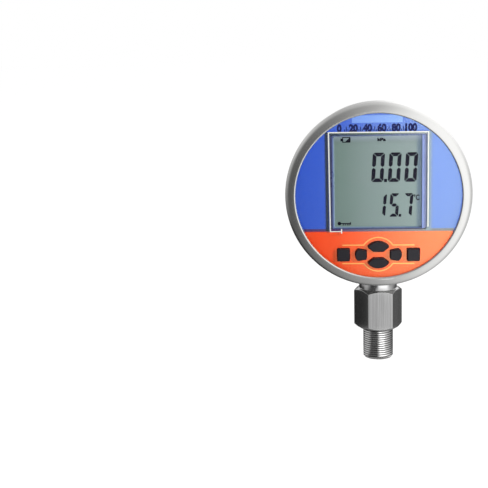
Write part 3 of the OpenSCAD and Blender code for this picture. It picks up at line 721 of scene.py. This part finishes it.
class GAUGE_OT_window(bpy.types.Operator):
    """Put in the clear window and the white line printed on its front"""
    bl_idname = "gauge.window"
    bl_label = "Window and line"

    def execute(self, context):
        piece = NODES["front_window"].copy()
        piece.data = piece.data.copy()
        named(piece, "window_plate")
        piece.parent = None
        for key in list(piece.keys()):
            del piece[key]
        context.scene.collection.objects.link(piece)
        only(piece)
        edit_all(bpy.ops.mesh.remove_doubles, threshold=1e-7)
        # A little room between its back and the printed panel
        edit_some("VERT", lambda vertex: vertex.co.y > PANEL_FRONT - 0.1 * MM,
                  bpy.ops.transform.translate, value=(0, -0.06 * MM, 0))
        smooth(piece, 20)
        place(piece, "housing", "window_glass")
        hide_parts("front_window")

        # The line runs round the display at the left, above and at the right, in millimetres
        half = context.scene.gauge_face.line_width / 2 / MM
        top, foot, end = 41.2, -23.0, -20.2
        left, right, hook = -31.35, 31.7, -23.6
        lean, drop = 0.5, 0.35
        strips = [
            [(left - half, top - half), (right + half, top - drop - half),
             (right + half, top - drop + half), (left - half, top + half)],
            [(left + lean - half, foot - half), (left + lean + half, foot - half),
             (left + half, top - half), (left - half, top - half)],
            box_outline(right - half, right + half, end, top - drop - half),
            box_outline(left + lean + half, hook - half, foot - half, foot + half * 0.5),
            box_outline(hook - half, hook + half, foot - 1.4, foot + 1.7),
        ]
        line = join("window_line", [
            plate("strip", strip, WINDOW_FRONT - 0.03 * MM, 0.025 * MM) for strip in strips])
        place(line, "housing", "white_ink")
        return {"FINISHED"}


# The segments that each figure lights, lettered as usual
FIGURES = {
    "0": "abcdef", "1": "bc", "2": "abged", "3": "abgcd", "4": "fgbc", "5": "afgcd",
    "6": "afgedc", "7": "abc", "8": "abcdefg", "9": "abcdfg",
}


def segment_outlines(wide, high, bar, gap):
    """Outlines of the seven segments in a figure's box, with mitred corners a little apart."""
    mid, half, cut = high / 2, bar / 2, bar * 0.4
    upper_left = [
        (0, high - cut - gap), (0, mid + gap + cut), (half, mid + gap), (bar, mid + half + gap),
        (bar, high - bar - gap), (cut * 0.5, high - gap - cut * 0.5)]
    top = [
        (gap + cut, high), (wide - gap - cut, high), (wide - gap - cut * 0.5, high - cut * 0.5),
        (wide - bar - gap, high - bar), (bar + gap, high - bar),
        (gap + cut * 0.5, high - cut * 0.5)]
    centre = [
        (half + gap, mid), (bar + gap, mid + half), (wide - bar - gap, mid + half),
        (wide - half - gap, mid), (wide - bar - gap, mid - half), (bar + gap, mid - half)]

    def mirror(outline, across, down):
        return [(wide - x if across else x, high - z if down else z) for x, z in outline]

    return {
        "a": top, "d": mirror(top, False, True), "g": centre, "f": upper_left,
        "b": mirror(upper_left, True, False), "e": mirror(upper_left, False, True),
        "c": mirror(upper_left, True, True),
    }


def figure_plates(text, lefts, low, wide, high, bar, lean):
    """Plates of the segments that show a text, each figure in a box of its own."""
    outlines = segment_outlines(wide, high, bar, 0.19)
    made = []
    for letter, left in zip(text, lefts):
        if letter == ".":
            made.append(plate("dot", [
                (left - bar * 0.4, low), (left + bar * 0.4, low),
                (left + bar * 0.45, low + bar * 0.85), (left - bar * 0.35, low + bar * 0.85)],
                INK_FRONT))
        else:
            made += [plate("segment", [(left + x + z * lean, low + z) for x, z in outlines[name]],
                           INK_FRONT) for name in FIGURES[letter]]
    return made


def text_piece(name, words, x, z, height, front, bold, narrow, align="LEFT"):
    """Plain figures or unit symbols as thin plates, in millimetres on the face."""
    only()
    bpy.ops.object.text_add(location=(0, 0, 0))
    text = bpy.context.object.data
    text.body = words
    text.size = height * MM / 0.7
    text.extrude = INK_DEPTH / 2
    text.offset = bold * MM
    text.align_x = align
    text.resolution_u = 4
    bpy.ops.object.convert(target="MESH")
    piece = named(bpy.context.object, name)
    for vertex in piece.data.vertices:
        across, up, deep = vertex.co
        vertex.co = (x * MM + across * narrow, front - deep, FACE_Z + z * MM + up)
    face_outward()
    return piece


def rounded(x0, x1, z0, z1, radius, y):
    """Loop of points round a rectangle with rounded corners, in millimetres on the face."""
    points = []
    for k, (x, z) in enumerate(((x1, z1), (x0, z1), (x0, z0), (x1, z0))):
        mid_x = x - radius if x == x1 else x + radius
        mid_z = z - radius if z == z1 else z + radius
        for step in range(5):
            turn = math.radians(90 * k + 22.5 * step)
            points.append(((mid_x + radius * math.cos(turn)) * MM, y,
                           FACE_Z + (mid_z + radius * math.sin(turn)) * MM))
    return points


def looped(name, loops):
    """Piece whose surface is drawn out from loop to loop and back to the first."""
    piece = outline_piece(name, loops[0])
    last = loops[0]
    for loop in loops[1:] + loops[:1]:
        edit_mode()
        bpy.ops.mesh.extrude_edges_move(TRANSFORM_OT_translate={"value": (0, 0, 0)})
        edit_mode(False)
        for vertex in piece.data.vertices:
            if vertex.select:
                gaps = [(vertex.co - Vector(point)).length for point in last]
                vertex.co = loop[gaps.index(min(gaps))]
        last = loop
    edit_all(bpy.ops.mesh.remove_doubles, threshold=1e-7)
    face_outward()
    return piece


class GAUGE_OT_surround(bpy.types.Operator):
    """Mould the frame round the display, with slopes down to it"""
    bl_idname = "gauge.surround"
    bl_label = "Display frame"

    def execute(self, context):
        low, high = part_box("display_frame")
        front, back = low.y + 0.01 * MM, high.y - 0.01 * MM
        step = front + 0.9 * MM
        rim = (-30.65, 30.65, -21.75, 39.15, 0.5)
        ledge = (-29.6, 29.6, -21.72, 38.75, 0.5)
        piece = looped("display_surround", [rounded(*loop) for loop in (
            (*rim, back), (*rim, step), (*ledge, step), (*ledge, front + 0.08 * MM),
            (-29.52, 29.52, -21.64, 38.67, 0.45, front),
            (-28.9, 28.0, -21.55, 38.5, 0.4, front),
            (-27.95, 27.8, -20.95, 38.05, 0.3, back))])
        smooth(piece, 30)
        place(piece, "housing", "frame_plastic")
        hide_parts("display_frame")
        return {"FINISHED"}


class GAUGE_OT_display(bpy.types.Operator):
    """Draw the display's figures and symbols"""
    bl_idname = "gauge.display"
    bl_label = "Display figures"

    def execute(self, context):
        settings = context.scene.gauge_display
        figures = join("display_figures", [
            *figure_plates(settings.upper, (-4.0, 5.2, 6.6, 17.1), 7.9, 7.8, 19.1, 2.45, 0.062),
            *figure_plates(settings.lower, (-1.2, 7.05, 14.4, 15.75), -14.9, 6.1, 15.4, 2.05,
                           0.088)])
        move(figures, (-0.4 * MM, 0, 0.25 * MM))
        place(figures, "housing", "ink")

        # Cell outline with a stroke across, for the charge
        cell = [box_outline(*bar) for bar in (
            (-22.5, -17.4, 36.7, 37.3), (-22.5, -17.4, 33.7, 34.3), (-22.5, -21.9, 34.3, 36.7),
            (-17.8, -17.2, 34.3, 36.7), (-23.7, -22.5, 34.6, 36.4))]
        cell.append([(-20.6, 34.3), (-17.8, 34.3), (-17.8, 36.9)])
        # Thermometer lying on its side, with its marks
        bulb_x, bulb_z, bulb_r = -24.9, -19.2, 1.2
        turns = [k * math.tau / 16 for k in range(16)]
        thermometer = [[(bulb_x + bulb_r * math.cos(turn), bulb_z + bulb_r * math.sin(turn))
                        for turn in turns]]
        thermometer += [box_outline(*bar) for bar in (
            (-24.1, -17.6, -19.55, -18.85), (-17.9, -17.3, -20.1, -18.3),
            *((x, x + 0.65, -20.5, -19.55) for x in (-22.7, -21.3, -19.9, -18.9)))]
        symbols = join("display_symbols", [
            *(plate("sign", outline, INK_FRONT) for outline in cell + thermometer),
            text_piece("unit", "kPa", -0.1, 34.5, 1.9, INK_FRONT, 0.19, 1.35),
            text_piece("unit", "°C", 22.9, -4.0, 3.4, INK_FRONT, 0.18, 0.72)])
        move(symbols, (-0.2 * MM, 0, 0.3 * MM))
        place(symbols, "housing", "ink")
        return {"FINISHED"}


class GAUGE_OT_scale(bpy.types.Operator):
    """Print a plain scale of figures and marks over the display"""
    bl_idname = "gauge.scale"
    bl_label = "Scale"

    def execute(self, context):
        front, foot, made = PANEL_FRONT - 0.04 * MM, 41.6, []
        for k in range(6):
            x = k * 9.0 - 24.5
            made.append(text_piece("figure", str(20 * k), x, 41.5, 4.4, front, 0.42, 0.86,
                                   "CENTER"))
            for step in (-1, 0, 1) if k < 5 else ():
                mark = x + 4.5 + step * 1.05
                made.append(plate("mark", box_outline(
                    mark - 0.26, mark + 0.26, foot, foot + (1.3 if step else 3.0)), front))
        place(join("scale_marks", made), "housing", "navy_ink")
        return {"FINISHED"}


class GAUGE_OT_bezel(bpy.types.Operator):
    """Turn the domed bezel ring"""
    bl_idname = "gauge.bezel"
    bl_label = "Bezel"

    def execute(self, context):
        low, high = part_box("bezel_ring")
        outer, front, back = high.x / MM - 0.01, low.y / MM + 0.01, high.y / MM
        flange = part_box("bezel_gasket")[0].y / MM
        opening, bore, dome, steps = 52.95, outer - 1.5, 6.0, 14
        # The opening widens to its lip, where it turns into the dome
        profile = [(opening, flange)]
        for wider, deeper in ((0.24, 0.54), (0.28, 0.48), (0.74, 0.07), (0.81, 0.02)):
            profile.append((opening + wider, front + deeper))
        for k in range(steps + 1):
            turn = math.pi / 2 * k / steps
            profile.append((outer - dome + dome * math.sin(turn) + (0 if k else 0.05),
                            front + dome - dome * math.cos(turn)))
        profile += [(outer, back - 0.3), (outer - 0.3, back), (bore, back), (bore, flange)]
        piece = turned("bezel_dome", profile, 256, "Y")
        smooth(piece, 24)
        place(piece, "housing", "steel_bezel")
        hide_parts("bezel_ring")
        return {"FINISHED"}


class GAUGE_OT_connector(bpy.types.Operator):
    """Machine the hexagon, the neck and the thread"""
    bl_idname = "gauge.connector"
    bl_label = "Connector"

    def thread(self, settings):
        pitch, depth = settings.thread_pitch / MM, settings.thread_depth / MM
        crest = THREAD_R - 0.01
        root = crest - depth
        flank, flat = depth * math.tan(math.radians(30)), pitch / 5
        section = [
            (root - 0.2, -flat - flank), (root, -flat - flank),
            (root + depth / 2, -flat - flank / 2), (crest, -flat), (crest, flat),
            (root + depth / 2, flat + flank / 2), (root, flat + flank), (root - 0.2, flat + flank)]
        coil = outline_piece("thread_ridge", [(r * MM, 0, (z - pitch) * MM) for r, z in section])
        apply_modifier(coil, "SCREW", axis="Z", angle=math.tau, screw_offset=pitch * MM,
                       iterations=math.ceil(THREAD_TOP / pitch) + 2, steps=96, render_steps=96,
                       use_merge_vertices=False)
        edit_mode()
        bpy.ops.mesh.select_mode(type="EDGE")
        bpy.ops.mesh.select_all(action="DESELECT")
        bpy.ops.mesh.select_non_manifold()
        bpy.ops.mesh.edge_face_add()
        for height, side in ((0.002, -1), (THREAD_TOP, 1)):
            bpy.ops.mesh.select_all(action="SELECT")
            bpy.ops.mesh.bisect(plane_co=(0, 0, height * MM), plane_no=(0, 0, side),
                                use_fill=True, clear_outer=True)
        edit_mode(False)
        # The chamfer at the free end and the run-out below the hexagon trim the crests
        for vertex in coil.data.vertices:
            r, z = math.hypot(vertex.co.x, vertex.co.y) / MM, vertex.co.z / MM
            limit = max(min(crest, 8.9 + z, root + (THREAD_TOP - z) * 1.2), root - 0.1)
            if r > limit:
                vertex.co.x *= limit / r
                vertex.co.y *= limit / r
        face_outward()
        core = turned("thread_core", [
            (3.5, 0), (THREAD_START_R, 0), (root, root - THREAD_START_R),
            (root, HEX_BOTTOM + 0.5), (3.0, HEX_BOTTOM + 0.5), (3.0, 0.5)], 128)
        piece = join("process_thread", [core, coil])
        smooth(piece)
        return piece

    def hexagon(self):
        corner = HEX_HALF_FLATS / math.cos(math.radians(30))
        turns = [HEX_TURN + k * math.tau / 6 for k in range(6)]
        blank = outline_piece("hexagon", [
            (corner * MM * math.cos(turn), corner * MM * math.sin(turn), HEX_BOTTOM * MM)
            for turn in turns], "NGON")
        edit_all(bpy.ops.mesh.extrude_region_move, TRANSFORM_OT_translate={
            "value": (0, 0, (HEX_TOP - HEX_BOTTOM) * MM)})

        def upright(edge):
            a, b = (blank.data.vertices[i].co for i in edge.vertices)
            return abs(a.z - b.z) > 1 * MM

        edit_some("EDGE", upright, bpy.ops.mesh.bevel, offset=0.22 * MM, segments=3)
        face_outward()
        # Only the outer surface is needed: the bore is closed off first
        wide, inner = corner + 2, 2.0
        cone = turned("hexagon_chamfer", [
            (inner, HEX_BOTTOM), (LOWER_LAND_R, HEX_BOTTOM),
            (wide, HEX_BOTTOM + (wide - LOWER_LAND_R) * HEX_SLOPE),
            (wide, HEX_TOP - (wide - UPPER_LAND_R) * HEX_SLOPE),
            (UPPER_LAND_R, HEX_TOP), (inner, HEX_TOP)], 192)
        apply_modifier(blank, "BOOLEAN", operation="INTERSECT", object=cone, solver="EXACT")
        bpy.data.objects.remove(cone)
        apply_modifier(blank, "BEVEL", width=0.12 * MM, segments=2, limit_method="ANGLE",
                       angle_limit=math.radians(22))
        face_outward()
        smooth(blank)
        apply_modifier(blank, "WEIGHTED_NORMAL", keep_sharp=True)
        return named(blank, "connector_hexagon")

    def neck(self):
        saddle, end = FACE_Z / MM - 59.0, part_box("pressure_connector")[1].z / MM
        piece = turned("connector_neck", [
            (CHAMBER_R, HEX_TOP - 4), (NECK_R - 0.2, HEX_TOP - 4), (NECK_R - 0.2, HEX_TOP + 0.01),
            (NECK_R + 0.15, HEX_TOP + 0.01), (NECK_R, HEX_TOP + 0.16), (NECK_R, saddle + 0.2),
            (9.0, saddle + 0.9), (9.0, end - 0.3), (8.7, end), (CHAMBER_R, end)], 160)
        smooth(piece)
        return piece

    def execute(self, context):
        for piece, material in (
                (self.thread(context.scene.gauge_steel), "steel_thread"),
                (self.hexagon(), "steel_hexagon"), (self.neck(), "steel_connector")):
            place(piece, "housing", material)
            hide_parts("pressure_connector")
        return {"FINISHED"}


# Stage ----------------------------------------------------------------------


def seen_rays(g):
    """1 for the rays that show the background: the camera's, and those of metal and glass."""
    ray = g.node("LightPath").outputs
    return g.math("MAXIMUM", ray["Is Camera Ray"],
                  g.math("MAXIMUM", ray["Is Glossy Ray"], ray["Is Transmission Ray"]))


def curve(g, value, points):
    """A curve through points of value and result, for results up to the top of its ramp."""
    low, high, top = points[0][0], points[-1][0], 4.0
    ramp = g.node("ValToRGB", {0: g.remap(value, low, high)})
    elements = ramp.color_ramp.elements
    while len(elements) < len(points):
        elements.new(0.5)
    for element, (at, result) in zip(elements, points):
        element.position = (at - low) / (high - low)
        element.color = grey(result / top)
    return Term(g, ramp.outputs[0]) * top


def card(piece, pattern, strength=1.0, inside=False, veil=False):
    """Makes the piece a card that only mirror-like surfaces see, bright by the pattern.

    It may shine on its inside alone and upwards, or let what stands behind it through.
    """
    material = bpy.data.materials.new(piece.name)
    g = cleared(material)
    where = g.split(g.node("TexCoord").outputs["Object"])
    surface = g.node("Emission", {"Strength": pattern(g, *where) * strength})
    clear = g.node("BsdfTransparent")
    if inside:
        seen = g.node("NewGeometry").outputs
        slope = g.split(seen["Incoming"])[2]
        back = g.math("MULTIPLY", seen["Backfacing"], g.math("LESS_THAN", slope, 0.45))
        surface = g.blend(back, clear, surface)
    if veil:
        surface = g.node("AddShader", {0: surface.outputs[0], 1: clear.outputs[0]})
    g.show(surface)
    material.cycles.emission_sampling = "NONE"
    piece.data.materials.append(material)
    for rays in ("camera", "diffuse", "transmission", "shadow"):
        setattr(piece, "visible_" + rays, False)


def area(name, centre, size, power):
    """Square lamp aimed at the middle of the face."""
    bpy.ops.object.light_add(type="AREA", location=centre)
    light = bpy.context.object
    light.name = name
    light.data.shape = "RECTANGLE"
    light.data.size = light.data.size_y = size
    light.data.energy = power
    light.rotation_mode = "QUATERNION"
    light.rotation_quaternion = (Vector((0, 0, FACE_Z)) - Vector(centre)).to_track_quat("-Z", "Y")
    light.visible_glossy = False
    return light


def leave_out(light, kind, names):
    """Leaves pieces out of those that the light falls on, or that stand in its way."""
    left_out = bpy.data.collections.new(kind)
    setattr(light.light_linking, kind, left_out)
    for name in names:
        left_out.objects.link(bpy.data.objects[name])
    for item in left_out.collection_objects:
        item.light_linking.link_state = "EXCLUDE"


# Past these the lights reach the whole face
RAISED = ("bezel_dome", "bezel_gasket", *KEYS)

# Brightness of the tent by the angle about the face's axis, in front of it and behind it
TENT_FRONT = (
    (-180, 0.14), (-150, 0.15), (-120, 0.30), (-90, 0.56), (-60, 1.16), (-30, 1.50), (0, 1.56),
    (30, 1.58), (60, 1.42), (90, 0.63), (120, 0.34), (150, 0.20), (180, 0.14))
TENT_BEHIND = (
    (-180, 0.55), (-150, 0.04), (-120, 0.0), (-90, 0.15), (-60, 0.60), (-30, 0.75), (0, 0.85),
    (30, 1.50), (60, 1.65), (90, 0.85), (120, 0.62), (150, 0.85), (180, 0.55))

# Brightness round the connector by the angle from the front, for its three heights
FLATS = (
    (-180, 0.03), (-83, 0.04), (-76, 0.40), (-60, 0.40), (-48, 0.10), (-14, 0.10), (-8, 0.68),
    (22, 0.76), (28, 1.0), (50, 1.2), (64, 0.8), (88, 0.40), (104, 0.15), (180, 0.06))
THREAD = (
    (-180, 0.03), (-134, 0.05), (-124, 0.70), (-66, 0.80), (-48, 0.12), (-6, 0.12), (4, 1.3),
    (12, 2.8), (36, 3.0), (52, 1.5), (70, 0.9), (90, 0.55), (112, 0.35), (130, 0.06),
    (180, 0.04))
NECK = (
    (-180, 0.03), (-112, 0.05), (-98, 0.50), (-60, 0.66), (-44, 0.30), (-36, 0.07), (-4, 0.08),
    (3, 1.4), (16, 2.0), (44, 2.0), (62, 0.6), (105, 0.40), (120, 0.05), (180, 0.04))


class GAUGE_OT_stage(bpy.types.Operator):
    """Set the floor, the lights, the cards, the background and the camera"""
    bl_idname = "gauge.stage"
    bl_label = "Stage"

    def floor(self):
        only()
        bpy.ops.mesh.primitive_plane_add(size=8, location=(0, 0, -0.02 * MM))
        piece = named(bpy.context.object, "floor")
        material = bpy.data.materials.new("pale floor")
        g = cleared(material)
        cloud = g.noise(g.node("TexCoord").outputs["Object"], 3.0)
        plain = g.node("BsdfDiffuse", {"Color": g.mix(cloud, grey(0.80), grey(0.84))})
        glow = g.node("Emission", {"Color": grey(1), "Strength": 1.15})
        g.show(g.blend(seen_rays(g) * 0.86, plain, glow))
        piece.data.materials.append(material)

    def world(self, room):
        world = bpy.context.scene.world = bpy.data.worlds.new("studio")
        g = cleared(world, "OutputWorld")
        soft, white = (g.node("Background", {"Color": grey(1), "Strength": strength})
                       for strength in (room, 1.0))
        g.show(g.blend(seen_rays(g), soft, white))

    def camera(self, settings):
        yaw, pitch, roll = (math.radians(a) for a in settings.camera_turn)
        turn = (Matrix.Rotation(yaw, 4, "Z") @ Matrix.Rotation(math.pi / 2 - pitch, 4, "X")
                @ Matrix.Rotation(roll, 4, "Z"))
        data = bpy.data.cameras.new("camera")
        data.lens = settings.lens
        data.sensor_width = 36
        data.clip_start, data.clip_end = 0.01, 50
        camera = bpy.data.objects.new("camera", data)
        camera.matrix_world = Matrix.Translation(settings.camera_place) @ turn
        bpy.context.scene.collection.objects.link(camera)
        bpy.context.scene.camera = camera

    def tent(self):
        """Round tent on the floor: bright at the right, dark at the left."""
        only()
        bpy.ops.mesh.primitive_uv_sphere_add(segments=96, ring_count=48, radius=0.5)
        piece = named(bpy.context.object, "tent")
        for vertex in piece.data.vertices:
            vertex.co.z = max(vertex.co.z + FACE_Z, 0.6 * MM)

        def pattern(g, x, y, z):
            rise = z - FACE_Z
            turn = g.math("ARCTAN2", rise, x) * (180 / math.pi)
            reach = g.node("VectorMath", {0: g.term("CombineXYZ", {0: x, 1: y, 2: rise})},
                           operation="LENGTH").outputs["Value"]
            back = g.remap(g.math("DIVIDE", y, reach), -0.35, 0.35, kind="SMOOTHSTEP")
            return back * curve(g, turn, TENT_BEHIND) + (1.0 - back) * curve(g, turn, TENT_FRONT)

        card(piece, pattern)

    def front_card(self):
        """Card in front at the right, whose sheen lies over the printed face."""
        only()
        bpy.ops.mesh.primitive_plane_add(size=1)
        piece = named(bpy.context.object, "front_card")
        for vertex in piece.data.vertices:
            right, top = vertex.co.x > 0, vertex.co.y > 0
            vertex.co = (0.085 if right else -0.045, -0.15, 0.172 if top else 0.010)

        def pattern(g, x, y, z):
            return curve(g, x, ((-0.045, 0.0), (-0.031, 0.0), (0.045, 3.9), (0.085, 4.0)))

        # Behind it the tent stays in sight of the pieces that the card leaves out
        card(piece, pattern, 1.3, veil=True)
        piece.data.materials[0].cycles.emission_sampling = "FRONT_BACK"
        leave_out(piece, "blocker_collection", RAISED)
        leave_out(piece, "receiver_collection", (
            "bezel_dome", "case_shell", "process_thread", "connector_hexagon", "connector_neck"))

    def low_cards(self):
        """Cards in a ring about the connector, with light strips that its height sets."""
        only()
        bpy.ops.mesh.primitive_cylinder_add(vertices=96, radius=0.040, depth=0.040,
                                            end_fill_type="NGON", location=(0, 0, 0))
        piece = named(bpy.context.object, "low_cards")
        edit_some("FACE", lambda face: face.center.z > 0.019, bpy.ops.mesh.delete, type="FACE")
        move(piece, (0, 0, 0.0208))
        for vertex in piece.data.vertices:
            turn = math.degrees(math.atan2(vertex.co.x, -vertex.co.y))
            if vertex.co.z > 0.02:
                vertex.co.z = 0.046 if -24 < turn < 0 else 0.054

        def pattern(g, x, y, z):
            turn = g.math("ARCTAN2", x, y * -1.0) * (180 / math.pi)
            low = g.fade(z, 10.5 * MM, 13 * MM)
            high = 1.0 - g.fade(z, 41.5 * MM, 44.5 * MM)
            return (1.0 - low - high) * curve(g, turn, FLATS) + (
                low * curve(g, turn, THREAD) + high * curve(g, turn, NECK))

        card(piece, pattern, inside=True)

    def execute(self, context):
        settings = context.scene.gauge_stage
        context.scene.view_settings.view_transform = "Standard"
        self.floor()
        self.world(settings.room)
        self.camera(settings)
        key = area("key", (0.52, -0.64, 0.94), 0.06, settings.key_power * 0.83)
        leave_out(key, "blocker_collection", RAISED)
        # A weaker lamp nearer the camera, whose light the keys do hold up
        low_key = area("low_key", (0.86, -0.86, 0.44), 0.12, settings.key_power * 0.70)
        leave_out(low_key, "blocker_collection", RAISED[:2])
        area("fill", (-0.5, -0.9, 0.5), 0.6, 0.4)
        self.tent()
        self.front_card()
        self.low_cards()
        return {"FINISHED"}


class GAUGE_PT_panel(bpy.types.Panel):
    """Steps and settings of the gauge"""
    bl_label = "Digital pressure gauge"
    bl_idname = "GAUGE_PT_panel"
    bl_space_type = "VIEW_3D"
    bl_region_type = "UI"
    bl_category = "Gauge"

    def draw(self, context):
        for step in STEPS:
            self.layout.operator(step.bl_idname)
        for name, group in SETTINGS:
            box = self.layout.box()
            for key in group.__annotations__:
                box.prop(getattr(context.scene, name), key)


STEPS = (
    GAUGE_OT_materials,
    GAUGE_OT_bezel,
    GAUGE_OT_window,
    GAUGE_OT_surround,
    GAUGE_OT_display,
    GAUGE_OT_scale,
    GAUGE_OT_connector,
    GAUGE_OT_stage,
)


def register():
    for name, group in SETTINGS:
        bpy.utils.register_class(group)
        setattr(bpy.types.Scene, name, bpy.props.PointerProperty(type=group))
    for kind in (*STEPS, GAUGE_PT_panel):
        bpy.utils.register_class(kind)


def unregister():
    for kind in reversed((*STEPS, GAUGE_PT_panel)):
        bpy.utils.unregister_class(kind)
    for name, group in reversed(SETTINGS):
        delattr(bpy.types.Scene, name)
        bpy.utils.unregister_class(group)


def main():
    register()
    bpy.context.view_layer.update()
    for step in STEPS:
        area_name, step_name = step.bl_idname.split(".")
        getattr(getattr(bpy.ops, area_name), step_name)()


if __name__ == "__main__":
    main()
